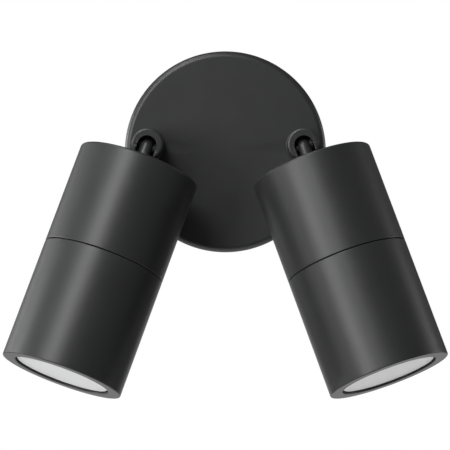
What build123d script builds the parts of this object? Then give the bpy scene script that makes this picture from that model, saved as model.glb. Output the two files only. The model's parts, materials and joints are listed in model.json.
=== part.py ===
from build123d import *
import os
from math import cos, hypot, radians, sin, sqrt

# Twin adjustable spotlight: a round wall plate, two slotted swivel posts and two cylindrical heads.
# Millimetres. Everything is modelled in wall axes: X right, Y up, Z out of the wall, with the origin
# at the plate's centre on the wall plane. The last step stands the light up, with +Z up and -Y out.

# ---- clearances ----
turn_fit = 0.06          # radial, a shaft that turns in its hole
thread_fit = 0.10        # radial, a screwed pair, whose threads are left plain
loose_fit = 0.10         # radial, a part that drops into its hole or bore
gasket_face_gap = 0.05   # lens gasket to the lip that turns over it

# ---- wall plate, a shallow dish open to the wall ----
plate_d = 100.0
plate_depth = 22.0       # wall plane to the plate's front face
plate_wall = 2.5
plate_edge_r = 3.0
gasket_t = 1.5
gasket_inset = 0.2       # gasket edge behind the plate's edge

# ---- mounting bracket and its screws ----
bracket_w = 16.0
bracket_t = 1.5
bracket_gap = 0.6        # bracket corner to the plate's inner wall
bracket_ear_gap = 1.8    # ear's tip below the swivel nut
bracket_step = 3.0       # raised middle, which leaves room behind for the grommet
bracket_step_w = 24.0
slot_spacing = 60.0
slot_length = 12.0
slot_w = 4.5
side_screw_d = 4.0
side_screw_edge = 4.0    # side screw below the ear's tip
side_screw_inset = 0.6   # headless screw's outer end inside the plate's edge
side_socket_af = 2.0
side_socket_depth = 1.5
screw_head_h = 2.0

# ---- cable grommet ----
grommet_bore_d = 8.0
grommet_neck_d = 12.0
grommet_flange_d = 15.0
grommet_flange_t = 1.5

# ---- terminal block ----
pole_pitch = 11.0
pole_w = 6.0
block_h = 16.0
block_t = 11.0
block_web_h = 10.0
block_web_t = 5.0
block_y = 24.0
block_pad_t = 2.5
barrel_d = 4.4
barrel_bore_d = 3.2
barrel_inset = 1.0       # barrel and clamp screws inside the block's faces
clamp_screw_d = 2.4
clamp_screw_y = 4.0      # clamp screw from the block's middle
block_screw_d = 2.5
block_screw_grip = 3.0

# ---- earth point ----
earth_x = -24.0
earth_gap = 1.9          # boss to the plate's inner wall
earth_boss_d = 8.0
earth_boss_h = 5.0
earth_screw_d = 4.0
earth_tag_t = 0.8

# ---- leads ----
lead_d = 1.4
lead_pitch = 1.5
lead_step = 2.5          # unit of a lead's straight runs between bends
lead_gap = 0.3           # lead to the grommet, and between the two long leads where they cross

# ---- swivel posts ----
post_inset = 12.0        # post's axis inside the plate's edge
post_rise = 3.0          # post axis above the plate's centre
post_wall = 2.9          # round the bore
post_foot_w = 0.5        # wider foot at the post's base
post_foot_h = 1.2
post_edge = 0.4
post_bore_offset = 0.5   # bore off the post's axis, towards the slot
post_bore_depth = 14.0
slot_floor_gap = 0.5     # stem's ball to the slot's floor
post_wire_d = 5.0
post_seal_t = 1.0
shank_d = 10.0
shank_flat = 0.8         # depth of the flat that keys the stop washer
shank_tip = 1.5          # shank beyond its nut
post_pad_t = 1.5
post_pad_d = 19.0
stop_washer_t = 1.2
stop_washer_d = 13.8
stop_tab_angle = 30.0
stop_tab_gap = 0.5       # tab to the plate's inner wall
stop_clearance = 0.5     # degrees between tab and stop at each limit
swivel_range = 180.0     # straight down, through outward, to straight up
post_nut_af = 14.0
post_nut_t = 4.0

# ---- pivot ----
pivot_depth = 4.5        # post's front face to the pivot
pivot_offset = 0.9       # pivot off the post's axis, towards the slot
pivot_screw_d = 3.0
pivot_head_d = 4.4
pivot_head_h = 1.2
pivot_inset = 0.7        # screw ends inside the post's side
pivot_socket_af = 2.0
pivot_socket_depth = 0.7
pivot_washer_d = 4.2
pivot_washer_t = 1.05
washer_gap = 0.05        # pivot washer to the stem's flat
washer_seat_gap = 0.4    # pivot washer to the slot's wall

# ---- rest pose ----
splay = 20.0             # head's outward swing from straight down
tilt = 12.24             # head's lean out from the wall
least_tilt = 8.74        # lean at the inner limit
head_swing_gap = 0.474   # head's edge to the plate at that limit

# ---- knuckle stem ----
stem_d = 6.8
stem_flats = 6.4
stem_flat_h = 8.0
stem_flange_d = 12.0
stem_flange_t = 1.5
stem_seal_t = 1.0
stem_shank_d = 8.0
stem_bore_d = 3.4
stem_exit_z = 5.5        # side outlet of the wire bore, from the pivot
stem_exit_d = 2.8
stem_tip = 1.5
stem_flange_gap = 1.5    # flange to the post's side
stem_washer_t = 1.2
stem_washer_d = 15.0
stem_nut_af = 13.0
stem_nut_t = 5.0

# ---- head: rear housing and front tube ----
lamp_room = 2.4          # lamp's rim to the tube's bore
head_length = 110.0
seam_z = 50.5            # housing's length, from the head's rear face
seam_gap = 0.4
head_edge = 0.8
top_wall = 4.0
tube_wall = 2.6
neck_wall = 2.0
neck_length = 10.0
thread_seal_t = 2.0
thread_seal_w = 1.0

# ---- lens in the front tube ----
lip_w = 3.65             # lip's reach inward from the tube's bore
lip_t = 2.0
lens_recess = 1.0
lens_gasket_t = 1.0
lens_flange_t = 2.2
lens_gap = 0.6           # raised front of the lens to the aperture
gasket_set_back = 0.4    # gasket's hole outside the aperture
retainer_h = 3.0
retainer_w = 2.4
retainer_notch_w = 3.0
lamp_gap = 0.5

# ---- lamp, a 50 mm reflector with a twist-and-lock base ----
lamp_d = 50.0
lamp_length = 54.0
lamp_rim_h = 5.0
lamp_taper_h = 24.0
lamp_fins = 4            # cooling rings that step out from base to rim
lamp_base_d = 26.0
lamp_bezel_w = 2.0       # rim round the lamp's cover
lamp_cover_t = 1.5
lamp_pin_length = 7.0
lamp_pin_d = 3.2
lamp_pin_head_d = 5.0
lamp_pin_head_h = 2.0
lamp_pin_spacing = 10.0

# ---- lampholder and its bracket ----
holder_d = 28.0
holder_h = 20.0
pin_hole_spare = 0.5
strap_t = 1.2
strap_w = 12.0
strap_screw_gap = 1.1    # screw's head to the strap's side
strap_foot_reach = 4.0   # foot beyond the screw's middle
holder_screw_spacing = 20.0
holder_screw_d = 3.0
holder_screw_length = 8.0
holder_screw_head_d = 5.4
lamp_lead_spacing = 8.0

# ---- sides of the small hidden round parts, which keeps the model light ----
lead_sides = 6
screw_sides = 6
washer_sides = 12
disc_sides = 24
wide_sides = 48
round_steps = 3          # flats across a quarter round

# ---- places worked out from the sizes above ----
plate_r = plate_d / 2
plate_inner_r = plate_r - plate_wall
plate_back = plate_depth - plate_wall              # inner face of the plate's front wall
post_x = plate_r - post_inset
ear_x = sqrt((plate_inner_r - bracket_gap) ** 2 - (bracket_w / 2) ** 2)
grommet_z = bracket_step - grommet_flange_t
grommet_top = bracket_step + bracket_t + grommet_flange_t
lead_level = grommet_top + lead_gap + lead_d / 2
lead_cross_level = lead_level + lead_d + lead_gap
block_front = plate_back - block_pad_t
block_rear = block_front - block_t
barrel_z = block_rear + block_t / 2
block_length = 2 * pole_pitch + pole_w
earth_seat = plate_back - earth_boss_h
earth_y = sqrt((plate_inner_r - earth_gap - earth_boss_d / 2) ** 2 - earth_x ** 2)
head_r = lamp_d / 2 + lamp_room + tube_wall
bore_r = stem_flats / 2 + washer_gap + pivot_washer_t + washer_seat_gap    # slot's half width too
post_front_r = bore_r + post_wall
post_base_r = post_front_r + post_foot_w
pivot_to_head = post_front_r - pivot_offset + stem_flange_gap + stem_flange_t + stem_seal_t
swing_r = head_r * cos(radians(least_tilt)) - pivot_to_head * sin(radians(least_tilt))
pivot_z = plate_depth + head_swing_gap + swing_r
post_base = plate_depth + post_seal_t
post_front = pivot_z + pivot_depth
pad_back = plate_back - post_pad_t
stop_washer_back = pad_back - stop_washer_t
post_nut_back = stop_washer_back - post_nut_t
shank_end = post_nut_back - shank_tip
bracket_ear_h = post_nut_back - bracket_ear_gap
side_screw_z = bracket_ear_h - side_screw_edge
stop_r = plate_inner_r - hypot(post_x, post_rise) - stop_tab_gap
slot_floor = pivot_z - stem_d / 2 - slot_floor_gap
stem_pivot = -pivot_to_head
stem_flange_back = -stem_seal_t - stem_flange_t
strap_back = top_wall + strap_t
stem_nut_back = strap_back + stem_washer_t
stem_end = stem_nut_back + stem_nut_t + stem_tip
tube_bore_r = head_r - tube_wall
neck_r = tube_bore_r - thread_fit
neck_end = seam_z + neck_length
cavity_r = neck_r - neck_wall
aperture_r = tube_bore_r - lip_w
lip_back = head_length - lip_t
lens_seat = lip_back - lens_gasket_t
lens_back = lens_seat - lens_flange_t
retainer_back = lens_back - retainer_h
lamp_face = retainer_back - lamp_gap
lamp_pin_end = lamp_face - lamp_length
holder_face = lamp_pin_end + lamp_pin_length
holder_back = holder_face - holder_h
lens_r = tube_bore_r - loose_fit
lamp_cover_r = lamp_d / 2 - lamp_bezel_w
strap_x = (holder_screw_spacing + holder_screw_head_d) / 2 + strap_screw_gap + strap_t


# ---- plain shapes ----
def turned(*outline, start=0, sweep=360):
    """A closed outline of (radius, height) points, turned about Z."""
    profile = make_face(Polyline(*[(r, 0, z) for r, z in outline], close=True))
    return Rot(0, 0, start) * revolve(profile, Axis.Z, sweep)


def rod(radius, low, high):
    return Pos(0, 0, (low + high) / 2) * Cylinder(radius, high - low)


def ring(outer_r, inner_r, low, high, start=0, sweep=360):
    corners = [(inner_r, low), (outer_r, low), (outer_r, high), (inner_r, high)]
    return turned(*corners, start=start, sweep=sweep)


def peg(radius, low, high, sides):
    """A many-sided rod that fits inside the round one."""
    return Pos(0, 0, low) * extrude(RegularPolygon(radius, sides), high - low)


def well(radius, low, high, sides):
    """A many-sided hole that leaves room for the round one."""
    return Pos(0, 0, low) * extrude(RegularPolygon(radius, sides, major_radius=False), high - low)


def collar(outer_r, inner_r, low, high, sides):
    return peg(outer_r, low, high, sides) - well(inner_r, low, high, sides)


def quarter_round(side_r, top, edge_r):
    """Points of an outline's rounded outer corner, from its side up to its top face."""
    turns = [radians(90 * step / round_steps) for step in range(round_steps + 1)]
    return [(side_r - edge_r * (1 - cos(turn)), top - edge_r * (1 - sin(turn))) for turn in turns]


def block(size_x, size_y, low, high):
    return Pos(0, 0, (low + high) / 2) * Box(size_x, size_y, high - low)


def hexagon(across_flats, low, high):
    return well(across_flats / 2, low, high, 6)


def along_x(shape):
    """Turn a shape from the Z axis to the X axis."""
    return Rot(0, 90, 0) * shape


def along_y(shape):
    """Turn a shape from the Z axis to the Y axis."""
    return Rot(-90, 0, 0) * shape


def wire(*points):
    """A lead through the points, mitred at its bends."""
    path = Polyline(*points)
    start = Plane(origin=path @ 0, z_dir=path % 0)
    section = start * RegularPolygon(lead_d / 2, lead_sides)
    return sweep(section, path=path, transition=Transition.RIGHT)


def headed_screw(shaft_d, length, head_d, head_h):
    """A screw with its head's seat at Z = 0 and its shaft below."""
    return peg(shaft_d / 2, -length, 0, screw_sides) + peg(head_d / 2, 0, head_h, screw_sides)


# ---- root: wall plate and what is behind it ----
def side_screw_line(shape, side):
    """Put a shape made about Z on the line of a side screw, with +Z pointing outward."""
    return Rot(0, 0, 90 - 90 * side) * Pos(0, 0, side_screw_z) * along_x(shape)


def wall_plate():
    edge = quarter_round(plate_r, plate_depth, plate_edge_r)
    shell = turned((0, gasket_t), (plate_r, gasket_t), *edge, (0, plate_depth))
    shell -= well(plate_inner_r, gasket_t, plate_back, wide_sides)
    for side in (-1, 1):
        shell += post_pad(side)
    shell += Pos(0, block_y, 0) * block(block_length, block_web_h, block_front, plate_back)
    shell += Pos(earth_x, earth_y, 0) * peg(earth_boss_d / 2, earth_seat, plate_back, washer_sides)
    for side in (-1, 1):
        shell -= at_post(side, rod(shank_d / 2 + turn_fit, 0, plate_depth))
        hole = well(block_screw_d / 2 + thread_fit, 0, block_front + block_screw_grip, screw_sides)
        shell -= Pos(side * pole_pitch / 2, block_y, 0) * hole
        shell -= side_screw_line(well(side_screw_d / 2 + thread_fit, ear_x, plate_r, screw_sides), side)
    earth_hole = well(earth_screw_d / 2 + thread_fit, 0, plate_back, screw_sides)
    return shell - Pos(earth_x, earth_y, 0) * earth_hole


def post_pad(side):
    """Pad round a post's hole, with the arc rib that stops the post's washer at both limits."""
    pad = at_post(side, peg(post_pad_d / 2, pad_back, plate_back, washer_sides))
    rib_sweep = 360 - swivel_range - stop_tab_angle - 2 * stop_clearance
    inward = 90 + 90 * side
    rib_low = stop_washer_back + stop_washer_t / 4
    rib_r = stop_washer_d / 2 + loose_fit
    rib = ring(stop_r, rib_r, rib_low, pad_back, inward - rib_sweep / 2, rib_sweep)
    return pad + at_post(side, rib)


def wall_gasket():
    return collar(plate_r - gasket_inset, plate_inner_r, 0, gasket_t, wide_sides)


def mounting_bracket():
    half_step = bracket_step_w / 2
    foot = half_step + bracket_step
    lower = [(ear_x, bracket_ear_h), (ear_x, 0), (foot, 0), (half_step, bracket_step)]
    inner_x = ear_x - bracket_t
    upper = [(half_step, bracket_step + bracket_t), (foot, bracket_t)]
    upper += [(inner_x, bracket_t), (inner_x, bracket_ear_h)]
    right = lower + [(0, bracket_step), (0, bracket_step + bracket_t)] + upper
    half = extrude(make_face(Polyline(*[(x, 0, z) for x, z in right], close=True)), bracket_w / 2, both=True)
    strip = half + Rot(0, 0, 180) * half
    strip -= well(grommet_neck_d / 2 + loose_fit, 0, bracket_step + bracket_t, washer_sides)
    for side in (-1, 1):
        slot = extrude(SlotOverall(slot_length, slot_w), bracket_t)
        strip -= Pos(side * slot_spacing / 2, 0, 0) * slot
        hole = well(side_screw_d / 2 + loose_fit, ear_x - bracket_t, ear_x, screw_sides)
        strip -= side_screw_line(hole, side)
    return strip


def bracket_side_screws():
    """Headless screws, tapped through the plate's wall into the bracket's ears."""
    end = plate_r - side_screw_inset
    screw = peg(side_screw_d / 2, ear_x - bracket_t, end, screw_sides)
    screw -= hexagon(side_socket_af, end - side_socket_depth, end)
    return Compound([side_screw_line(screw, side) for side in (-1, 1)])


def cable_grommet():
    top = bracket_step + bracket_t
    flange_r = grommet_flange_d / 2
    body = peg(grommet_neck_d / 2, grommet_z, grommet_top, washer_sides)
    body += peg(flange_r, grommet_z, bracket_step, washer_sides)
    body += peg(flange_r, top, grommet_top, washer_sides)
    return body - rod(grommet_bore_d / 2, grommet_z, grommet_top)


def poles():
    return [step * pole_pitch for step in (-1, 0, 1)]


def clamp_screw_places():
    return [(x, block_y + side * clamp_screw_y) for x in poles() for side in (-1, 1)]


def terminal_block():
    body = block(block_length, block_web_h, block_front - block_web_t, block_front)
    for x in poles():
        body += Pos(x, 0, 0) * block(pole_w, block_h, block_rear, block_front)
    body = Pos(0, block_y, 0) * body
    for x in poles():
        bore = well(barrel_d / 2 + loose_fit, -block_h / 2, block_h / 2, screw_sides)
        body -= Pos(x, block_y, barrel_z) * along_y(bore)
    for x, y in clamp_screw_places():
        body -= Pos(x, y, 0) * well(clamp_screw_d / 2 + loose_fit, block_rear, barrel_z, screw_sides)
    for side in (-1, 1):
        hole = well(block_screw_d / 2 + loose_fit, block_rear, block_front, screw_sides)
        body -= Pos(side * pole_pitch / 2, block_y, 0) * hole
    return body


def terminal_barrels():
    barrels = []
    half = block_h / 2 - barrel_inset
    barrel = collar(barrel_d / 2, barrel_bore_d / 2, -half, half, screw_sides)
    for x in poles():
        solid = Pos(x, block_y, barrel_z) * along_y(barrel)
        for side in (-1, 1):
            tapped = well(clamp_screw_d / 2 + thread_fit, block_rear, barrel_z, screw_sides)
            solid -= Pos(x, block_y + side * clamp_screw_y, 0) * tapped
        barrels.append(solid)
    return Compound(barrels)


def terminal_screws():
    tip = barrel_z - lead_d / 2 - loose_fit
    screw = peg(clamp_screw_d / 2, block_rear + barrel_inset, tip, screw_sides)
    return Compound([Pos(x, y, 0) * screw for x, y in clamp_screw_places()])


def block_screws():
    seat = block_front - block_web_t
    length = block_web_t + block_screw_grip - loose_fit
    screw = Rot(180, 0, 0) * headed_screw(block_screw_d, length, block_screw_d * 1.8, screw_head_h)
    places = [side * pole_pitch / 2 for side in (-1, 1)]
    return Compound([Pos(x, block_y, seat) * screw for x in places])


def earth_screw():
    length = earth_boss_h + earth_tag_t - loose_fit
    screw = Rot(180, 0, 0) * headed_screw(earth_screw_d, length, earth_screw_d * 1.8, screw_head_h)
    return Pos(earth_x, earth_y, earth_seat - earth_tag_t) * screw


def earth_lead():
    """Ring tag under the earth screw, and its lead to the block's middle pole."""
    tag_z = earth_seat - earth_tag_t
    crimp_x = earth_boss_d / 2 + 2 * loose_fit
    tag = peg(earth_boss_d / 2, tag_z, earth_seat, washer_sides)
    tag += Pos(crimp_x / 2, 0, 0) * block(crimp_x + lead_d, 2 * lead_d, tag_z, earth_seat)
    tag -= well(earth_screw_d / 2 + loose_fit, tag_z, earth_seat, screw_sides)
    tag += Pos(0, 0, tag_z) * along_x(peg(lead_d, crimp_x, crimp_x + 2 * lead_d, screw_sides))
    crest = block_y + block_h / 2 + 3 * lead_step
    start = (earth_x + crimp_x + lead_d, earth_y, tag_z)
    middle = (earth_x + crimp_x + 4 * lead_step, crest, barrel_z)
    top = (0, crest, barrel_z)
    lead = wire(start, middle, top, (0, block_y + clamp_screw_y, barrel_z))
    return Pos(earth_x, earth_y, 0) * tag + lead


def supply_leads(side):
    """Two leads from a post's wire bore: a short one to the near pole, a long one to the far pole."""
    mouth_y = block_y - block_h / 2
    turn_y = mouth_y - 3 * lead_step
    leads = []
    for reach, offset in ((1, lead_pitch / 2), (-1, -lead_pitch / 2)):
        level = lead_cross_level if side > 0 and reach < 0 else lead_level
        x = side * post_x
        y = post_rise + offset
        end_x = side * (reach * pole_pitch + lead_pitch / 2)
        points = [(x, y, stop_washer_back), (x, y, level), (end_x, turn_y, level)]
        points += [(end_x, mouth_y - lead_step / 2, barrel_z), (end_x, block_y - clamp_screw_y, barrel_z)]
        leads.append(wire(*points))
    return Compound(leads)


# ---- swivel post and what turns with it, made about its own axis with the slot towards -Y ----
def at_post(side, shape):
    return Pos(side * post_x, post_rise, 0) * shape


def on_post(side, shape):
    return at_post(side, Rot(0, 0, side * splay) * shape)


def shank_key(radius):
    """What is left beyond the flat on the shank, for a shank or hole of this radius."""
    flat_x = radius - shank_flat
    return Pos(flat_x + radius, 0, 0) * block(2 * radius, 4 * radius, shank_end, pad_back)


def swivel_post():
    shank_r = shank_d / 2
    foot_top = post_base + post_foot_h
    outline = [(0, shank_end), (shank_r, shank_end), (shank_r, post_base), (post_base_r, post_base)]
    outline += [(post_base_r, foot_top), (post_front_r, foot_top), (post_front_r, post_front - post_edge)]
    outline += [(post_front_r - post_edge, post_front), (0, post_front)]
    post = turned(*outline) - shank_key(shank_r)
    bore_floor = post_front - post_bore_depth
    post -= Pos(0, -post_bore_offset, 0) * rod(bore_r, bore_floor, post_front)
    post -= well(post_wire_d / 2, shank_end, bore_floor, washer_sides)
    slot = block(2 * bore_r, 2 * post_base_r, slot_floor, post_front)
    post -= Pos(0, -post_bore_offset - post_base_r, 0) * slot
    screw_r = pivot_screw_d / 2
    post -= on_pivot_line(rod(screw_r + turn_fit, -post_base_r, post_base_r))
    counterbore = well(pivot_head_d / 2 + loose_fit, pivot_seat(), 2 * post_base_r, washer_sides)
    return post - on_pivot_line(counterbore)


def on_pivot_line(shape):
    return Pos(0, -pivot_offset, pivot_z) * along_x(shape)


def pivot_end():
    return post_front_r - pivot_inset


def pivot_seat():
    return pivot_end() - pivot_head_h


def pivot_screw():
    head = peg(pivot_head_d / 2, pivot_seat(), pivot_end(), washer_sides)
    shaft = rod(pivot_screw_d / 2, -pivot_end(), pivot_seat())
    socket = hexagon(pivot_socket_af, pivot_end() - pivot_socket_depth, pivot_end())
    return on_pivot_line(head + shaft - socket)


def pivot_washers():
    low = stem_flats / 2 + washer_gap
    hole_r = pivot_screw_d / 2 + turn_fit
    washer = collar(pivot_washer_d / 2, hole_r, low, low + pivot_washer_t, washer_sides)
    return on_pivot_line(washer) + on_pivot_line(Rot(180, 0, 0) * washer)


def swivel_seal():
    return collar(post_base_r, shank_d / 2 + loose_fit, plate_depth, post_base, disc_sides)


def stop_washer():
    hole_r = shank_d / 2 + loose_fit
    washer = peg(stop_washer_d / 2, stop_washer_back, pad_back, washer_sides)
    tab_r = (stop_washer_d + shank_d) / 4
    tab = ring(stop_r, tab_r, stop_washer_back, pad_back, -90 - stop_tab_angle / 2, stop_tab_angle)
    return washer + tab - (rod(hole_r, stop_washer_back, pad_back) - shank_key(hole_r))


def swivel_nut():
    nut = hexagon(post_nut_af, post_nut_back, stop_washer_back)
    return nut - well(shank_d / 2 + thread_fit, post_nut_back, stop_washer_back, washer_sides)


# ---- head, made about its axis from its rear face at Z = 0 to its front rim ----
def on_head(side, shape):
    hang = Pos(0, -pivot_offset, pivot_z) * Rot(90 - tilt, 0, 0) * Pos(0, 0, pivot_to_head)
    return on_post(side, hang * shape)


def knuckle_stem():
    stem_r = stem_d / 2
    ball = [(r, 2 * stem_pivot - z) for r, z in quarter_round(stem_r, stem_pivot + stem_r, stem_r)]
    stem = turned(*ball, (0, stem_flange_back), (stem_r, stem_flange_back))
    stem += peg(stem_flange_d / 2, stem_flange_back, -stem_seal_t, disc_sides)
    stem += peg(stem_shank_d / 2, -stem_seal_t, stem_end, washer_sides)
    for side in (-1, 1):
        beyond = block(stem_r, stem_d, stem_pivot - stem_flat_h / 2, stem_pivot + stem_flat_h / 2)
        stem -= Pos(side * (stem_flats + stem_r) / 2, 0, 0) * beyond
    stem -= Pos(0, 0, stem_pivot) * along_x(rod(pivot_screw_d / 2 + turn_fit, -stem_r, stem_r))
    exit_z = stem_pivot + stem_exit_z
    stem -= well(stem_bore_d / 2, exit_z - stem_exit_d / 2, stem_end, washer_sides)
    return stem - Pos(0, 0, exit_z) * along_y(well(stem_exit_d / 2, -stem_r, 0, screw_sides))


def stem_seal():
    return collar(stem_flange_d / 2, stem_shank_d / 2 + loose_fit, -stem_seal_t, 0, disc_sides)


def stem_washer():
    hole_r = stem_shank_d / 2 + loose_fit
    return collar(stem_washer_d / 2, hole_r, strap_back, stem_nut_back, washer_sides)


def stem_nut():
    front = stem_nut_back + stem_nut_t
    nut = hexagon(stem_nut_af, stem_nut_back, front)
    return nut - well(stem_shank_d / 2 + thread_fit, stem_nut_back, front, washer_sides)


def rear_housing():
    outline = [(0, 0), (head_r - head_edge, 0), (head_r, head_edge), (head_r, seam_z)]
    body = turned(*outline, (neck_r, seam_z), (neck_r, neck_end), (0, neck_end))
    body -= collar(head_r, neck_r - thread_seal_w, seam_z, seam_z + thread_seal_t, wide_sides)
    body -= well(cavity_r, top_wall, neck_end, wide_sides)
    return body - well(stem_shank_d / 2 + loose_fit, 0, top_wall, washer_sides)


def thread_seal():
    """Rubber ring let into the root of the housing's neck."""
    return collar(neck_r, neck_r - thread_seal_w, seam_z, seam_z + thread_seal_t, wide_sides)


def lampholder_bracket():
    """Strap that hangs from the stem's nut and carries the lampholder on two inward feet."""
    inner = strap_x - strap_t
    foot_x = holder_screw_spacing / 2 - strap_foot_reach
    foot_back = holder_back - strap_t
    right = [(0, top_wall), (strap_x, top_wall), (strap_x, holder_back), (foot_x, holder_back)]
    right += [(foot_x, foot_back), (inner, foot_back), (inner, strap_back), (0, strap_back)]
    half = extrude(make_face(Polyline(*[(px, 0, z) for px, z in right], close=True)), strap_w / 2, both=True)
    strap = half + Rot(0, 0, 180) * half
    strap -= well(stem_shank_d / 2 + loose_fit, top_wall, strap_back, washer_sides)
    for side in (-1, 1):
        hole = well(holder_screw_d / 2 + loose_fit, foot_back, holder_back, screw_sides)
        strap -= Pos(side * holder_screw_spacing / 2, 0, 0) * hole
    return strap


def holder_screws():
    screw = headed_screw(holder_screw_d, holder_screw_length, holder_screw_head_d, screw_head_h)
    screw = Rot(180, 0, 0) * screw
    places = [side * holder_screw_spacing / 2 for side in (-1, 1)]
    return Compound([Pos(x, 0, holder_back - strap_t) * screw for x in places])


def lampholder():
    body = peg(holder_d / 2, holder_back, holder_face, disc_sides)
    screw_hole_end = holder_back + holder_screw_length
    socket_end = lamp_pin_end - pin_hole_spare
    for side in (-1, 1):
        tapped = well(holder_screw_d / 2 + thread_fit, holder_back, screw_hole_end, screw_sides)
        body -= Pos(side * holder_screw_spacing / 2, 0, 0) * tapped
        socket = well(lamp_pin_head_d / 2 + loose_fit, socket_end, holder_face, screw_sides)
        body -= Pos(side * lamp_pin_spacing / 2, 0, 0) * socket
        lead_hole = well(lead_d / 2 + loose_fit, holder_back, holder_back + 2 * lead_d, screw_sides)
        body -= Pos(side * lamp_lead_spacing / 2, 0, 0) * lead_hole
    return body


def lamp():
    rim_back = lamp_face - lamp_rim_h
    taper_back = rim_back - lamp_taper_h
    body = peg(lamp_base_d / 2, holder_face, taper_back, disc_sides)
    for fin in range(lamp_fins):
        radius = (lamp_base_d + (lamp_d - lamp_base_d) * (fin + 1) / lamp_fins) / 2
        body += peg(radius, taper_back + lamp_taper_h * fin / lamp_fins, lamp_face, disc_sides)
    body -= well(lamp_cover_r, lamp_face - lamp_cover_t, lamp_face, disc_sides)
    for side in (-1, 1):
        pin = peg(lamp_pin_d / 2, lamp_pin_end, holder_face, screw_sides)
        pin += peg(lamp_pin_head_d / 2, lamp_pin_end, lamp_pin_end + lamp_pin_head_h, screw_sides)
        body += Pos(side * lamp_pin_spacing / 2, 0, 0) * pin
    return body


def lamp_cover():
    return peg(lamp_cover_r - loose_fit, lamp_face - lamp_cover_t, lamp_face, disc_sides)


def lamp_leads():
    leads = []
    for side in (-1, 1):
        near = side * lead_pitch / 2
        far = side * lamp_lead_spacing / 2
        points = [(near, 0, stem_nut_back), (near, 0, stem_end + lead_step)]
        points += [(far, 0, holder_back - 2 * lead_step), (far, 0, holder_back + lead_d)]
        leads.append(wire(*points))
    return Compound(leads)


# ---- front tube and the lens pack in it ----
def front_tube():
    start = seam_z + seam_gap
    outline = [(tube_bore_r, start), (head_r, start)]
    outline += [(head_r, head_length - head_edge), (head_r - head_edge, head_length)]
    outline += [(aperture_r, head_length), (aperture_r, lip_back), (tube_bore_r, lip_back)]
    return turned(*outline)


def lens_gasket():
    hole_r = aperture_r + gasket_set_back
    return collar(lens_r, hole_r, lens_seat, lip_back - gasket_face_gap, disc_sides)


def lens_glass():
    raised_r = aperture_r - lens_gap
    raised = peg(raised_r, lens_seat, head_length - lens_recess, wide_sides)
    return peg(lens_r, lens_back, lens_seat, disc_sides) + raised


def lens_retainer():
    outer = tube_bore_r - thread_fit
    body = collar(outer, outer - retainer_w, retainer_back, lens_back, disc_sides)
    notch = block(2 * head_r, retainer_notch_w, retainer_back, retainer_back + retainer_h / 2)
    return body - notch


# ---- every piece, named, in its place ----
plate_parts = {
    "wall_plate": wall_plate(),
    "wall_gasket": wall_gasket(),
    "mounting_bracket": mounting_bracket(),
    "bracket_side_screws": bracket_side_screws(),
    "cable_grommet": cable_grommet(),
    "terminal_block": terminal_block(),
    "terminal_barrels": terminal_barrels(),
    "terminal_screws": terminal_screws(),
    "block_screws": block_screws(),
    "earth_screw": earth_screw(),
    "earth_lead": earth_lead(),
    "left_supply_leads": supply_leads(-1),
    "right_supply_leads": supply_leads(1),
}
post_parts = {
    "swivel_post": swivel_post(),
    "swivel_seal": swivel_seal(),
    "stop_washer": stop_washer(),
    "swivel_nut": swivel_nut(),
    "pivot_screw": pivot_screw(),
    "pivot_washers": pivot_washers(),
}
head_parts = {
    "knuckle_stem": knuckle_stem(),
    "stem_seal": stem_seal(),
    "stem_washer": stem_washer(),
    "stem_nut": stem_nut(),
    "rear_housing": rear_housing(),
    "thread_seal": thread_seal(),
    "lampholder_bracket": lampholder_bracket(),
    "holder_screws": holder_screws(),
    "lampholder": lampholder(),
    "lamp": lamp(),
    "lamp_cover": lamp_cover(),
    "lamp_leads": lamp_leads(),
    "lens_gasket": lens_gasket(),
    "lens_glass": lens_glass(),
    "lens_retainer": lens_retainer(),
    "front_tube": front_tube(),
}

pieces = dict(plate_parts)
for name, side in (("left", -1), ("right", 1)):
    for part, shape in post_parts.items():
        pieces[f"{name}_{part}"] = on_post(side, shape)
    for part, shape in head_parts.items():
        pieces[f"{name}_{part}"] = on_head(side, shape)

os.makedirs("parts", exist_ok=True)
stand_up = Rot(90, 0, 0)
for name, shape in pieces.items():
    export_step(stand_up * shape, f"parts/{name}.step")
print(len(pieces), "pieces")
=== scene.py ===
# %% [markdown]
# # Dressing a twin wall spotlight
#
# The light has a round wall plate, two slotted posts that swivel in it, and two cylindrical heads
# that tilt on knuckle stems. Its solids come ready made and ready placed, as one frame. This
# lesson gives them their finishes, and turns the pieces that show again with finer edges.
#
# We load the frame first. What we make should fill its box, give or take
# the tenth of a millimetre that finer facets add.

# %% Load the frame
import json
import math

import bmesh
import bpy
from mathutils import Matrix, Vector


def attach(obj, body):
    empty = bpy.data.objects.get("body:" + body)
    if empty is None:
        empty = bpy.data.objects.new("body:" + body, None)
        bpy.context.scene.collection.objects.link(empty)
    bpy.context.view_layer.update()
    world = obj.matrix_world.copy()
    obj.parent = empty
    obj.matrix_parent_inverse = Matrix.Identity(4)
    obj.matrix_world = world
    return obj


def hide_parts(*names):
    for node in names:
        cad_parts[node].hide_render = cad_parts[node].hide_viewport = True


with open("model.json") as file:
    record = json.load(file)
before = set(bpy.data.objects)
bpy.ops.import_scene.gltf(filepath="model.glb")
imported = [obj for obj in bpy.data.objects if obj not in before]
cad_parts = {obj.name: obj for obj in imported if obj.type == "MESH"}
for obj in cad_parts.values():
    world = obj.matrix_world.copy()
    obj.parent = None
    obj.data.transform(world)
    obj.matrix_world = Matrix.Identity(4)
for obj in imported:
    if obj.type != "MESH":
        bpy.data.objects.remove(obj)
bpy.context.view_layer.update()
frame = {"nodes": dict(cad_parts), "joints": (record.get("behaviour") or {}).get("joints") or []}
nodes = frame["nodes"]
joints = {joint["name"]: joint for joint in frame["joints"]}
sides = ("left", "right")

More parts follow.
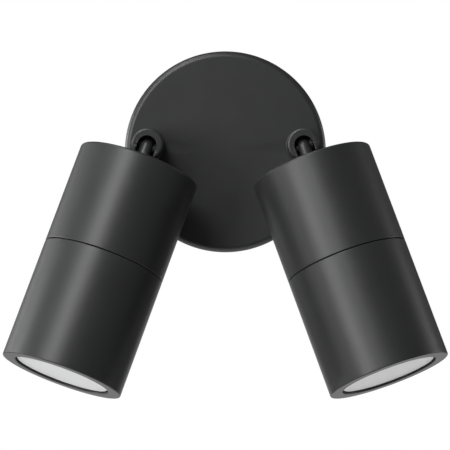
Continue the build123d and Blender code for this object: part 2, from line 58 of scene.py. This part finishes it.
# %% [markdown]
# ## Places to work from
#
# A turned piece is easiest to draw about its own axis. The joints already say where those axes
# are: the swivel's axis is the post's, and the tube's turning axis is the head's. So we read one
# set of axes for each post and each head, and a piece drawn about Z is put in place with it.
# Sizes are read the same way, from a node's corners seen in those axes. All drawing is in
# millimetres.

# %% Axes of the posts and heads
mm = 0.001
pivot_reach = 10.7


def axes(origin, x, z):
    """Axes at origin, in metres, whose Z is z and whose X is nearest to x."""
    z = Vector(z).normalized()
    y = z.cross(Vector(x)).normalized()
    turn = Matrix((y.cross(z), y, z)).transposed().to_4x4()
    return Matrix.Translation(origin) @ turn


def span(node, place):
    """Lowest and highest corner of a node in those axes, in millimetres."""
    back = place.inverted()
    points = [back @ v.co / mm for v in nodes[node].data.vertices]
    low = Vector([min(p[i] for p in points) for i in range(3)])
    return low, Vector([max(p[i] for p in points) for i in range(3)])


wall_axes = axes((0, 0, 0), (1, 0, 0), (0, -1, 0))
post_axes = {}
head_axes = {}
for side in sides:
    swivel = joints[side + "_swivel"]["pos_m"]
    across = -Vector(joints[side + "_tilt"]["axis"])
    post_axes[side] = axes((swivel[0], 0, swivel[2]), across, (0, -1, 0))
    turn = joints[side + "_tube_turn"]
    pivot_to_head = Vector(turn["axis"]) * pivot_reach * mm
    head_axes[side] = axes(Vector(turn["pos_m"]) + pivot_to_head, across, turn["axis"])
    print(side, "head points along", [round(v, 3) for v in turn["axis"]])

# %% [markdown]
# ## The black powder coat
#
# Every casting has the same finish: a charcoal powder coat with a soft sheen. Up close it isn't
# smooth, because the powder melts into a fine ripple. A noise a third of a millimetre wide gives
# the ripple as a bump, and a wider one changes colour and gloss a little from place to place. The
# coordinates are the object's own, so nothing slides when the camera moves.

# %% A helper for finishes
mottle_size = 12
grain_depth = 0.1


def finish_of(name, colour, roughness, metallic=0.0, grain=0.0, grain_size=0.3, mottle=0.06,
              **sockets):
    """A finish with fine grain as bump and a slow change of tone. Sizes are in millimetres."""
    material = bpy.data.materials.new(name)
    material.use_nodes = True
    tree = material.node_tree
    shader = tree.nodes["Principled BSDF"]
    shader.inputs["Metallic"].default_value = metallic
    for socket, value in sockets.items():
        shader.inputs[socket.replace("_", " ")].default_value = value
    place = tree.nodes.new("ShaderNodeTexCoord").outputs["Object"]

    slow = tree.nodes.new("ShaderNodeTexNoise")
    slow.inputs["Scale"].default_value = 1 / (mottle_size * mm)
    slow.inputs["Detail"].default_value = 6
    tree.links.new(place, slow.inputs["Vector"])

    tone = tree.nodes.new("ShaderNodeValToRGB")
    stops = zip(tone.color_ramp.elements, (1 - mottle, 1 + mottle), (0.3, 0.7))
    for stop, share, position in stops:
        stop.color = [min(1, c * share) for c in colour] + [1]
        stop.position = position
    tree.links.new(slow.outputs["Fac"], tone.inputs["Fac"])
    tree.links.new(tone.outputs["Color"], shader.inputs["Base Color"])

    gloss = tree.nodes.new("ShaderNodeMapRange")
    gloss.inputs["To Min"].default_value = roughness * (1 - mottle)
    gloss.inputs["To Max"].default_value = min(1, roughness * (1 + mottle))
    tree.links.new(slow.outputs["Fac"], gloss.inputs["Value"])
    tree.links.new(gloss.outputs["Result"], shader.inputs["Roughness"])

    if grain:
        fine = tree.nodes.new("ShaderNodeTexNoise")
        fine.inputs["Scale"].default_value = 1 / (grain_size * mm)
        fine.inputs["Detail"].default_value = 3
        bump = tree.nodes.new("ShaderNodeBump")
        bump.inputs["Strength"].default_value = grain
        bump.inputs["Distance"].default_value = grain_depth * mm
        tree.links.new(place, fine.inputs["Vector"])
        tree.links.new(fine.outputs["Fac"], bump.inputs["Height"])
        tree.links.new(bump.outputs["Normal"], shader.inputs["Normal"])
    return material


# %% Mix the powder coat
powder_coat = finish_of("powder_coat", (0.0245, 0.025, 0.026), 0.4,
                        grain=0.2, grain_size=0.35, mottle=0.05)
print("finish", powder_coat.name)

# %% [markdown]
# ## The other finishes
#
# Rubber is dull and slightly grained. Zinc-plated steel is bright with a fine grain. Brass
# barrels sit in a pale moulded block, the lampholder is unglazed ceramic, and the leads have
# glossy sleeves. The lens is white frosted glass: light enters it and scatters, so it is mostly
# white with some light let through, under a rough surface.

# %% Mix the rest
rubber = finish_of("black_rubber", (0.012, 0.012, 0.012), 0.8, grain=0.3, grain_size=0.2)
zinc = finish_of("zinc_plate", (0.58, 0.58, 0.56), 0.34, metallic=0.95, grain=0.08, grain_size=0.5)
screw_steel = finish_of("screw_steel", (0.52, 0.52, 0.51), 0.28, metallic=1.0, grain=0.05)
black_steel = finish_of("blackened_steel", (0.03, 0.03, 0.032), 0.38,
                        metallic=0.6, grain=0.1, grain_size=0.2)
brass = finish_of("brass", (0.72, 0.5, 0.22), 0.3, metallic=1.0, grain=0.05)
nylon = finish_of("black_nylon", (0.015, 0.015, 0.015), 0.75, grain=0.1)
block_white = finish_of("terminal_white", (0.78, 0.77, 0.72), 0.5, grain=0.1, mottle=0.03)
ceramic = finish_of("lampholder_ceramic", (0.82, 0.79, 0.72), 0.55,
                    grain=0.3, grain_size=0.25, mottle=0.04)
lamp_white = finish_of("lamp_white", (0.8, 0.8, 0.77), 0.3, mottle=0.02)
live_sleeve = finish_of("brown_sleeve", (0.16, 0.07, 0.035), 0.35, mottle=0.05)
neutral_sleeve = finish_of("blue_sleeve", (0.03, 0.12, 0.35), 0.35, mottle=0.05)
earth_sleeve = finish_of("green_sleeve", (0.16, 0.34, 0.05), 0.35, mottle=0.05)
frosted = finish_of("frosted_glass", (0.93, 0.935, 0.935), 0.35,
                    grain=0.12, grain_size=0.15, mottle=0.015, Transmission_Weight=0.1, IOR=1.5)
lamp_glass = finish_of("lamp_front_glass", (0.85, 0.87, 0.87), 0.2,
                       mottle=0.02, Transmission_Weight=0.6, IOR=1.5)
print(len(bpy.data.materials), "finishes")

# %% [markdown]
# ## Turning an outline
#
# A lathe part is an outline turned about its axis. Cast and machined edges are never quite sharp,
# and the thin highlight along each edge is what makes metal look real, so every corner of an
# outline can carry an easing: the corner becomes a small arc that starts and ends that far from
# it.

# %% Outline and lathe helpers


def eased(*corners, closed=False, steps=5):
    """Corners of (radius, height) or (radius, height, easing) as points, with arcs where eased."""
    points = [Vector(corner[:2]) for corner in corners]
    outline = []
    for i, corner in enumerate(corners):
        if len(corner) < 3:
            outline.append(points[i])
            continue
        ways = [points[i - 1] - points[i], points[(i + 1) % len(points)] - points[i]]
        first, last = [way.normalized() * min(corner[2], way.length / 2) for way in ways]
        for step in range(steps + 1):
            turn = math.radians(90 * step / steps)
            outline.append(points[i] + first * (1 - math.sin(turn)) + last * (1 - math.cos(turn)))
    return outline + outline[:1] if closed else outline


def smooth(mesh):
    for face in mesh.polygons:
        face.use_smooth = True


def add_piece(name, mesh, material):
    """A new object in the scene, of that mesh and finish."""
    piece = bpy.data.objects.new(name, mesh)
    bpy.context.scene.collection.objects.link(piece)
    mesh.materials.append(material)
    return piece


def turned(name, outline, place, material, around=144):
    """The outline of (radius, height) points turned about the Z of place."""
    shape = bmesh.new()
    line = [shape.verts.new((r * mm, 0, z * mm)) for r, z in outline]
    edges = [shape.edges.new(pair) for pair in zip(line, line[1:])]
    bmesh.ops.spin(shape, geom=line + edges, axis=(0, 0, 1), cent=(0, 0, 0), steps=around,
                   angle=math.tau)
    bmesh.ops.remove_doubles(shape, verts=shape.verts, dist=0.001 * mm)
    bmesh.ops.recalc_face_normals(shape, faces=shape.faces)
    shape.transform(place)
    mesh = bpy.data.meshes.new(name)
    shape.to_mesh(mesh)
    shape.free()
    smooth(mesh)
    piece = add_piece(name, mesh, material)
    piece.modifiers.new("even_flats", "WEIGHTED_NORMAL")
    return piece


# %% [markdown]
# ## The front tubes
#
# Each front tube is a plain sleeve with an inward lip at its front, around the lens. The photo
# shows the lip as a flat ring, with a thin line where it meets the side. At the other end its
# edge makes the dark seam with the housing. Radius and length are read from the CAD tube, and the
# edges that show are eased.

# %% Turn the tubes
tube_wall = 2.6
aperture_r = 23.75
lip_thickness = 2.0
rim_easing, lip_easing, seam_easing = 0.55, 0.35, 0.3
for side in sides:
    node = side + "_front_tube"
    low, high = span(node, head_axes[side])
    tube_r = high.x
    bore = tube_r - tube_wall
    lip_back = high.z - lip_thickness
    tube = turned(node + "_fine", eased(
        (bore, low.z, 0.2), (tube_r, low.z, seam_easing), (tube_r, high.z, rim_easing),
        (aperture_r, high.z, lip_easing), (aperture_r, lip_back), (bore, lip_back),
        closed=True), head_axes[side], powder_coat)
    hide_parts(node)
    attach(tube, side + "_tube")
    print(node, "radius", round(tube_r, 2), "length", round(high.z - low.z, 2))

# %% [markdown]
# ## The frosted lenses
#
# The lens sits a millimetre inside the lip. Its face is raised into the opening, and the narrow
# dark gap around it is what separates it from the rim in the photo. A turned disc with an eased
# edge replaces the CAD one.

# %% Turn the lenses
face_r, face_rise, face_easing = 23.15, 2.0, 0.6
edge_easing = 0.3
for side in sides:
    node = side + "_lens_glass"
    low, high = span(node, head_axes[side])
    seat = high.z - face_rise
    lens = turned(node + "_fine", eased(
        (0, low.z), (high.x, low.z, edge_easing), (high.x, seat, edge_easing), (face_r, seat),
        (face_r, high.z, face_easing), (0, high.z)), head_axes[side], frosted)
    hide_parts(node)
    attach(lens, side + "_lens_pack")
    print(node, "face", round(2 * face_r, 1), "mm wide")

# %% [markdown]
# ## Cutting slots and holes
#
# Posts and stems are turned first and then milled. Blender's boolean does the milling: a box or a
# rod is taken away from the turned piece. A fine bevel then eases every edge that the cuts left,
# which is what tumbling does to the real castings. The modifiers are applied, so that the piece
# is plain mesh afterwards.

# %% Milling helpers


def cutter(place, size, centre):
    """A box of that size about centre, in millimetres."""
    shape = bmesh.new()
    bmesh.ops.create_cube(shape, size=1)
    scale = Matrix.Diagonal(Vector(size) * mm).to_4x4()
    shape.transform(place @ Matrix.Translation(Vector(centre) * mm) @ scale)
    return shape


def drill(place, radius, low, high, along="z", at=(0, 0, 0), around=64):
    """A rod from low to high along an axis of place, for drilling a hole."""
    shape = bmesh.new()
    bmesh.ops.create_cone(shape, cap_ends=True, segments=around, radius1=radius * mm,
                          radius2=radius * mm, depth=(high - low) * mm)
    turn = {"x": Matrix.Rotation(math.pi / 2, 4, "Y"), "y": Matrix.Rotation(-math.pi / 2, 4, "X"),
            "z": Matrix.Identity(4)}[along]
    lift = Matrix.Translation((0, 0, (low + high) / 2 * mm))
    shape.transform(place @ Matrix.Translation(Vector(at) * mm) @ turn @ lift)
    return shape


def baked(piece):
    """The piece with its modifiers applied."""
    made = bpy.data.meshes.new_from_object(
        piece.evaluated_get(bpy.context.evaluated_depsgraph_get()))
    piece.modifiers.clear()
    piece.data = made
    return piece


def mill(piece, *cutters, easing=0.2):
    """Takes the cutters away from the piece and eases the new edges."""
    piece.modifiers.clear()
    for shape in cutters:
        mesh = bpy.data.meshes.new("cutter")
        shape.to_mesh(mesh)
        shape.free()
        tool = bpy.data.objects.new("cutter", mesh)
        bpy.context.scene.collection.objects.link(tool)
        cut = piece.modifiers.new("cut", "BOOLEAN")
        cut.object = tool
        cut.solver = "EXACT"
        baked(piece)
        bpy.data.objects.remove(tool)
    if easing:
        edge = piece.modifiers.new("eased_edges", "BEVEL")
        edge.width = easing * mm
        edge.segments = 3
        edge.angle_limit = math.radians(40)
        baked(piece)
    smooth(piece.data)
    piece.modifiers.new("even_flats", "WEIGHTED_NORMAL")
    return piece


# %% [markdown]
# ## The swivel posts
#
# Each post is a short column with a bored front. In the photo it looks like a thick ring with a
# slot through its outer side, where the stem comes out. Low in the bore the stem's round end
# shows, held by a pivot screw across the slot. A shallow chamfer round the front catches the
# light as a thin bright line. The post is turned with its foot and chamfer, and then bored,
# slotted, given the flat on its shank and drilled for the pivot. The slot is a hair narrower than
# the bore, so that its walls cross the bore's cleanly instead of just touching them. All of it is
# done on the bench, upright and at the origin, and the finished post is then put in its place.

# %% Turn and mill the posts
post_r, shank_r, wire_hole_r = 7.6, 5, 2.5
foot_r, foot_low, foot_high = 8.1, 23, 24.2
chamfer_w, chamfer_depth = 0.75, 0.28
bore_r, bore_y, bore_depth = 4.7, -0.5, 14
slot_w, slot_reach, slot_floor, slot_h = 9.32, 16.2, 46.6, 20
flat_x, flat_low, flat_high = 4.2, 11.3, 18
pivot, pivot_hole_r = (0, -0.9, 50.5), 1.56
pivot_head_r, pivot_head_x = 2.3, 5.7
cutter_w, cutter_l, past_front, past_side = 4, 20, 2, 9
into_bore = 1
bench = Matrix.Identity(4)
for side in sides:
    node = side + "_swivel_post"
    place = post_axes[side]
    low, high = span(node, place)
    wire_end = high.z - bore_depth + into_bore
    post = turned(node + "_fine", eased(
        (wire_hole_r, low.z), (shank_r, low.z, 0.4), (shank_r, foot_low), (foot_r, foot_low, 0.2),
        (foot_r, foot_high, 0.4), (post_r, foot_high, 0.2), (post_r, high.z - chamfer_depth, 0.15),
        (post_r - chamfer_w, high.z, 0.1), (0, high.z), (0, wire_end), (wire_hole_r, wire_end),
        closed=True), bench, powder_coat)
    mill(post,
         drill(bench, bore_r, high.z - bore_depth, high.z + past_front, at=(0, bore_y, 0),
               around=96),
         cutter(bench, (slot_w, slot_reach, slot_h),
                (0, bore_y - slot_reach / 2, slot_floor + slot_h / 2)),
         cutter(bench, (cutter_w, cutter_l, flat_high - flat_low),
                (flat_x + cutter_w / 2, 0, (flat_low + flat_high) / 2)),
         drill(bench, pivot_hole_r, -past_side, past_side, "x", pivot),
         drill(bench, pivot_head_r, pivot_head_x, past_side, "x", pivot))
    post.data.transform(place)
    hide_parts(node)
    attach(post, side + "_post")
    print(node, "front at", round(high.z, 1), "faces", len(post.data.polygons))

# %% [markdown]
# ## The knuckle stems
#
# The stem is a round rod with a ball end and two flats that fit the slot, and a flange that
# clamps onto the head. The ball end is a quarter circle in the outline, worked out with sine and
# cosine. The lamp's wires come out of a small hole in the stem's side, below the ball end.

# %% Turn and mill the stems
stem_r, ball_steps = 3.4, 12
flat_half, flat_size, past_stem = 3.2, 8, 4
flange_r, flange_low, flange_high = 6, -2.5, -1
stem_shank_r = 4
stem_wire_r, stem_wire_end = 1.7, -6.6
outlet_r, outlet_z = 1.4, -5.2
for side in sides:
    node = side + "_knuckle_stem"
    place = head_axes[side]
    low, high = span(node, place)
    ball = [Vector((stem_r * math.sin(turn), -pivot_reach - stem_r * math.cos(turn)))
            for turn in [math.radians(90 * step / ball_steps) for step in range(ball_steps + 1)]]
    stem = turned(node + "_fine", ball + eased(
        (stem_r, flange_low), (flange_r, flange_low, 0.35), (flange_r, flange_high, 0.2),
        (stem_shank_r, flange_high), (stem_shank_r, high.z, 0.4), (stem_wire_r, high.z),
        (stem_wire_r, stem_wire_end), (0, stem_wire_end)), place, powder_coat, around=96)
    mill(stem,
         *[cutter(place, (cutter_w, flat_size, flat_size),
                  (way * (flat_half + cutter_w / 2), 0, -pivot_reach)) for way in (1, -1)],
         drill(place, pivot_hole_r, -past_stem, past_stem, "x", (0, 0, -pivot_reach)),
         drill(place, outlet_r, -past_stem, 0, "y", (0, 0, outlet_z)), easing=0.15)
    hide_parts(node)
    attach(stem, side + "_head")
    print(node, "from", round(low.z, 1), "to", round(high.z, 1))

# %% [markdown]
# ## The rear housings and their threads
#
# The rear housing is a cup whose neck goes down inside the front tube. Its outer edge at the top
# is rounded more than the tube's. Nothing shows of the neck until the tube is unscrewed, and then
# its thread does. A thread is a small ridge that climbs as it goes round, so its points come from
# one loop: an angle, and a height that grows with the angle by one pitch a turn.

# %% Turn the housings
pitch = 2.0
ridge_foot, ridge_top = 0.55, 0.2


def thread(name, root_r, crest_r, start, end, place, material):
    """A ridge that climbs from start to end by one pitch a turn."""
    around = 96
    count = int((end - start) / pitch * around)
    section = ((root_r, -ridge_foot), (crest_r, -ridge_top), (crest_r, ridge_top),
               (root_r, ridge_foot))
    points = []
    for step in range(count + 1):
        turn = math.tau * step / around
        level = start + pitch * step / around
        points += [place @ (Vector((r * math.cos(turn), r * math.sin(turn), level + z)) * mm)
                   for r, z in section]
    faces = [(i * 4 + j, i * 4 + j + 1, i * 4 + j + 5, i * 4 + j + 4)
             for i in range(count) for j in range(3)]
    mesh = bpy.data.meshes.new(name)
    mesh.from_pydata(points, [], faces)
    smooth(mesh)
    return add_piece(name, mesh, material)


seam, top_easing = 50.5, 1.1
stem_hole_r = 4.1
cup_r, cup_roof, cup_easing = 25.3, 4, 1.5
groove_r, groove_w = 26.3, 2
collar_r, neck_r, crest_r = 27.3, 26.75, 27.28
collar_h, neck_from = 0.8, 1.1
ridge_from, ridge_before_end, ridge_sunk = 1.6, 0.8, 0.01
for side in sides:
    node = side + "_rear_housing"
    place = head_axes[side]
    low, high = span(node, place)
    collar = seam + groove_w
    housing = turned(node + "_fine", eased(
        (stem_hole_r, 0), (high.x, 0, top_easing), (high.x, seam, seam_easing), (groove_r, seam),
        (groove_r, collar), (collar_r, collar, 0.1), (collar_r, collar + collar_h),
        (neck_r, collar + neck_from), (neck_r, high.z, 0.4), (cup_r, high.z, 0.2),
        (cup_r, cup_roof, cup_easing), (stem_hole_r, cup_roof),
        closed=True), place, powder_coat)
    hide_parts(node)
    ridge = thread(side + "_housing_thread", neck_r - ridge_sunk, crest_r, collar + ridge_from,
                   high.z - ridge_before_end, place, powder_coat)
    for piece in (housing, ridge):
        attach(piece, side + "_head")
    print(node, "neck", round(high.z - seam, 1), "mm long")

# %% [markdown]
# ## The wall plate
#
# The plate is a shallow dish, open to the wall. From the front only a flat disc with a rounded
# edge shows. Its back has bosses, ribs and a seat for the terminal block, and the CAD model
# already has all of those. So we turn just the outer skin, drill it, and join it to a copy of the
# CAD plate's inner faces.

# %% Turn the plate's skin and keep its inside
edge_r, back_easing = 3.0, 0.3
dish_r, front_wall = 48.4, 1.2
shank_hole_r, front_cut = 5.06, (19, 24)
side_hole_r, side_hole = 2.1, (0, 0, 7)
skirt_in, skirt_out = 44, 54
low, high = span("wall_plate", wall_axes)
plate_r, plate_front, plate_back = high.x, high.z, low.z
inner_front = plate_front - front_wall
skin = turned("wall_plate_fine", eased(
    (dish_r, plate_back), (plate_r, plate_back, back_easing), (plate_r, plate_front, edge_r),
    (0, plate_front), (0, inner_front), (dish_r, inner_front),
    closed=True, steps=10), wall_axes, powder_coat, around=192)
mill(skin, *[drill(post_axes[side], shank_hole_r, *front_cut) for side in sides],
     drill(wall_axes, side_hole_r, skirt_in, skirt_out, "x", side_hole),
     drill(wall_axes, side_hole_r, -skirt_out, -skirt_in, "x", side_hole), easing=0)

inside = bmesh.new()
inside.from_mesh(nodes["wall_plate"].data)
to_wall = wall_axes.inverted()
skirt, near = 2.4, 0.01
outer = []
for face in inside.faces:
    corners = [to_wall @ corner.co / mm for corner in face.verts]
    nearest = min(c.z for c in corners)
    at_front = nearest > plate_front - near
    at_side = min(c.xy.length for c in corners) > plate_r - skirt and nearest > plate_back - near
    at_back = max(c.z for c in corners) < plate_back + near
    if at_front or at_side or at_back:
        outer.append(face)
bmesh.ops.delete(inside, geom=outer, context="FACES")
inside.from_mesh(skin.data)
inside.to_mesh(skin.data)
inside.free()
smooth(skin.data)
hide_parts("wall_plate")
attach(skin, "wall_unit")
print("plate", round(2 * plate_r, 1), "mm wide,", round(plate_front, 1), "deep")

# %% [markdown]
# ## Rubber rings and the grommet
#
# Rubber parts have soft, full edges. The wall gasket shows as a thin dark line behind the plate,
# the post seal as one between post and plate, and the stem seal as one above each head. They are
# turned rings, each with its outer corners well eased.

# %% Turn the rubber parts


def ring(node, place, inner_r, easing, body):
    """A turned ring in place of a CAD node, with its outside and height read from the node."""
    low, high = span(node, place)
    piece = turned(node + "_fine", eased(
        (inner_r, low.z), (high.x, low.z, easing), (high.x, high.z, easing), (inner_r, high.z),
        closed=True), place, rubber)
    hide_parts(node)
    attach(piece, body)


gasket_hole_r, seal_hole_r, lens_hole_r = 47.5, 5.1, 24.15
ring("wall_gasket", wall_axes, gasket_hole_r, 0.4, "wall_unit")
for side in sides:
    ring(side + "_swivel_seal", post_axes[side], seal_hole_r, 0.35, side + "_post")
    ring(side + "_stem_seal", head_axes[side], stem_hole_r, 0.35, side + "_head")
    ring(side + "_thread_seal", head_axes[side], groove_r, 0.5, side + "_head")
    ring(side + "_lens_gasket", head_axes[side], lens_hole_r, 0.3, side + "_lens_pack")

cable_hole_r, waist_r, flange_r = 4, 6, 7.5
flange_back, waist_back, waist_front, flange_front = 1.5, 3, 4.5, 6
grommet = turned("cable_grommet_fine", eased(
    (cable_hole_r, flange_back, 0.3), (flange_r, flange_back, 0.4), (flange_r, waist_back, 0.3),
    (waist_r, waist_back), (waist_r, waist_front), (flange_r, waist_front, 0.3),
    (flange_r, flange_front, 0.5), (cable_hole_r, flange_front, 0.4),
    closed=True), wall_axes, rubber, around=96)
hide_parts("cable_grommet")
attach(grommet, "wall_unit")
print("rubber parts turned, grommet", round(2 * flange_r, 1), "mm wide")

# %% [markdown]
# ## The leads
#
# The leads are bendy, so a smooth curve suits them better than the CAD model's mitred runs. Each
# is a NURBS curve on the same points, with a round bevel. The same few sizes place them as in the
# CAD: two leads for each head go from its post to the terminal block, one brown and one blue, and
# two go from the stem to the lampholder.

# %% A helper for leads
lead_r = 0.7


def lead(name, points, place, material, body, node):
    """A round lead along points, in place of a CAD node."""
    curve = bpy.data.curves.new(name, "CURVE")
    curve.dimensions = "3D"
    curve.bevel_depth = lead_r * mm
    curve.bevel_resolution = 5
    curve.use_fill_caps = True
    line = curve.splines.new("NURBS")
    line.points.add(len(points) - 1)
    for point, spot in zip(line.points, points):
        point.co = (*(place @ (Vector(spot) * mm)), 1)
    line.order_u = 3
    line.use_endpoint_u = True
    line.resolution_u = 10
    curve.materials.append(material)
    piece = bpy.data.objects.new(name, curve)
    bpy.context.scene.collection.objects.link(piece)
    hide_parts(node)
    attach(piece, body)


# %% Lay the leads
pole_pitch, half_pitch = 11.0, 0.75
post_x, post_y, shank_end = 38, 3, 16.8
low_run, high_run = 7.0, 8.7
run_y, rise_y, barrel_y, barrel_z = 8.5, 14.75, 20, 11.5
pin_x, stem_out, spread_from, spread_to, pin_in = 4, 6.4, 15.4, 29.3, 35.7
for side, way in (("left", -1), ("right", 1)):
    for reach, colour, material in ((1, "brown", live_sleeve), (-1, "blue", neutral_sleeve)):
        level = high_run if way > 0 and reach < 0 else low_run
        end_x = way * (reach * pole_pitch + half_pitch)
        start = (way * post_x, post_y + reach * half_pitch)
        points = [(*start, shank_end), (*start, level), (end_x, run_y, level),
                  (end_x, rise_y, barrel_z), (end_x, barrel_y, barrel_z)]
        lead(side + "_" + colour + "_supply_lead", points, wall_axes, material, "wall_unit",
             side + "_supply_leads")
    for hand, colour, material in ((-1, "brown", live_sleeve), (1, "blue", neutral_sleeve)):
        near_x, far_x = hand * half_pitch, hand * pin_x
        points = [(near_x, 0, stem_out), (near_x, 0, spread_from), (far_x, 0, spread_to),
                  (far_x, 0, pin_in)]
        lead(side + "_" + colour + "_lamp_lead", points, head_axes[side], material, side + "_head",
             side + "_lamp_leads")
print(len(bpy.data.curves), "leads laid")

# %% [markdown]
# ## Small hardware
#
# The rest of the CAD nodes have the right shapes and only need their finishes. A fine bevel on
# each, added as a modifier, gives their edges a highlight and leaves the CAD mesh as it is.

# %% Finish the CAD nodes that stay
finishes = {
    "mounting_bracket": zinc, "stop_washer": zinc, "swivel_nut": zinc, "stem_washer": zinc,
    "stem_nut": zinc, "lampholder_bracket": zinc, "bracket_side_screws": black_steel,
    "pivot_screw": black_steel, "holder_screws": screw_steel, "terminal_screws": screw_steel,
    "block_screws": screw_steel, "earth_screw": screw_steel, "terminal_block": block_white,
    "terminal_barrels": brass, "pivot_washers": nylon, "earth_lead": earth_sleeve,
    "lampholder": ceramic, "lamp": lamp_white, "lamp_cover": lamp_glass,
    "lens_retainer": black_steel,
}
hardware_easing = 0.12
shown = [name for name, node in nodes.items() if not node.hide_render]
for name in shown:
    kind = name.removeprefix("left_").removeprefix("right_")
    nodes[name].data.materials.clear()
    nodes[name].data.materials.append(finishes[kind])
    edge = nodes[name].modifiers.new("eased_edges", "BEVEL")
    edge.width = hardware_easing * mm
    edge.segments = 2
    edge.angle_limit = math.radians(50)
    nodes[name].modifiers.new("even_flats", "WEIGHTED_NORMAL")
print(len(shown), "CAD nodes stay in view:", ", ".join(sorted(shown)))

# %% [markdown]
# ## Camera
#
# The photo is taken square to the wall with a long lens, a little below the plate's middle. That
# is why the two heads look like near copies of each other, and why the lenses show only as thin
# ovals. The camera and the lamps are placed in metres, which is Blender's own unit.

# %% Place the camera
camera_data = bpy.data.cameras.new("camera")
camera_data.lens = 252
camera_data.sensor_width = 36
camera = bpy.data.objects.new("camera", camera_data)
camera.location = (-0.00016, -1.586, -0.0364)
camera.rotation_euler = (math.pi / 2, 0, 0)
bpy.context.scene.collection.objects.link(camera)
bpy.context.scene.camera = camera
print("camera", round(-camera.location.y, 3), "m from the wall")

# %% [markdown]
# ## Light
#
# Black paint has almost no brightness of its own: it shows the lamps around it. On a head, the
# turn of the surface decides which lamp shows, so the tone across it tells where the photo's
# lamps were. Two soft lamps in front on the left give the broad band down each head. Three more
# stand beside and behind on the left, for the bright left edges, and a weaker one on the right
# keeps the right edges from going black. One high on the left lights the plate's rounded edge and
# the posts' chamfers.
#
# The lips at the heads' ends are seen almost edge on, so they mirror the pale backdrop low behind
# the light, and the lenses face a pale table: two wide glows stand for those. Each lamp is placed
# by two angles around the heads: its turn from the camera's side, and its rise.

# %% Set up the lamps
heads_middle = Vector((0, -0.05, -0.04))
lamp_reach = 1.4


def soft_lamp(name, turn, rise, watts, wide=0.5, high=0.7):
    """A soft lamp round the heads, turn degrees to the camera's right and rise degrees up."""
    lamp = bpy.data.lights.new(name, "AREA")
    lamp.shape = "RECTANGLE"
    lamp.size, lamp.size_y = wide, high
    lamp.energy = watts
    turn, rise = math.radians(turn), math.radians(rise)
    way = Vector((math.sin(turn) * math.cos(rise), -math.cos(turn) * math.cos(rise),
                  math.sin(rise)))
    stand = bpy.data.objects.new(name, lamp)
    stand.location = heads_middle + way * lamp_reach
    stand.rotation_euler = (-way).to_track_quat("-Z", "Y").to_euler()
    stand.visible_camera = False
    bpy.context.scene.collection.objects.link(stand)


soft_lamp("key_high", -22, 35, 9.1)
soft_lamp("key_low", -38, 5, 8.4)
soft_lamp("left_above", -60, 62, 6.0)
soft_lamp("left_side", -75, 5, 2.3)
soft_lamp("left_edge", -100, 5, 12.8)
soft_lamp("left_rear", -130, 5, 2.0)
soft_lamp("right_edge", 105, 5, 4.5)
soft_lamp("backdrop_glow", 180, -25, 3.0, wide=1.4, high=0.95)
soft_lamp("table_glow", 0, -89, 9.5, wide=1.9, high=1.9)
print("lamps", [light.name for light in bpy.data.lights])

# %% [markdown]
# ## White surroundings
#
# The photo's background is plain white, yet hardly any of it lights the object. So the world is
# white where the camera sees it, directly or through glass, and nearly black where it would light
# a surface. Reflections get a dim white: it keeps metal from going black, and black paint black.

# %% Paint the world
mirror_white, least_white = 0.13, 0.01
world = bpy.data.worlds.new("studio")
bpy.context.scene.world = world
world.use_nodes = True
tree = world.node_tree
sky = tree.nodes["Background"]
sky.inputs["Color"].default_value = (1, 1, 1, 1)
rays = tree.nodes.new("ShaderNodeLightPath")


def combine(tree, how, first, second):
    """The output of a Math node of two inputs, each a socket or a number."""
    node = tree.nodes.new("ShaderNodeMath")
    node.operation = how
    for socket, value in zip(node.inputs, (first, second)):
        if isinstance(value, (int, float)):
            socket.default_value = value
        else:
            tree.links.new(value, socket)
    return node.outputs["Value"]


seen = combine(tree, "MAXIMUM", rays.outputs["Is Camera Ray"], rays.outputs["Is Transmission Ray"])
mirrored = combine(tree, "MULTIPLY", rays.outputs["Is Glossy Ray"], mirror_white)
strength = combine(tree, "MAXIMUM", combine(tree, "MAXIMUM", seen, mirrored), least_white)
tree.links.new(strength, sky.inputs["Strength"])
bpy.context.scene.view_settings.view_transform = "Standard"
print("world", world.name, "with", mirror_white, "of white in reflections")

# %% [markdown]
# ## The floor
#
# A wall light hangs well above the floor, so a plain pale floor lies 1.6 m below it, out of the
# photo's frame. From above it shows as a pale ground that still takes a shadow: where the camera
# sees it, it adds most of a white of its own. Its pale face also helps to light the lenses from
# below. It is stage, not part of the object.

# %% Lay the floor
floor_drop, floor_r = 1600, 2500
own_white = 0.75
floor_paint = finish_of("floor_paint", (0.8, 0.8, 0.79), 0.7, mottle=0.01)
tree = floor_paint.node_tree
shader = tree.nodes["Principled BSDF"]
shader.inputs["Emission Color"].default_value = (1, 1, 1, 1)
rays = tree.nodes.new("ShaderNodeLightPath")
glow = combine(tree, "MULTIPLY", rays.outputs["Is Camera Ray"], own_white)
tree.links.new(glow, shader.inputs["Emission Strength"])
floor = turned("floor", [Vector((0, 0)), Vector((floor_r, 0))],
               axes((0, 0, -floor_drop * mm), (1, 0, 0), (0, 0, 1)), floor_paint)
print("floor", round(floor.dimensions.x, 2), "m wide")
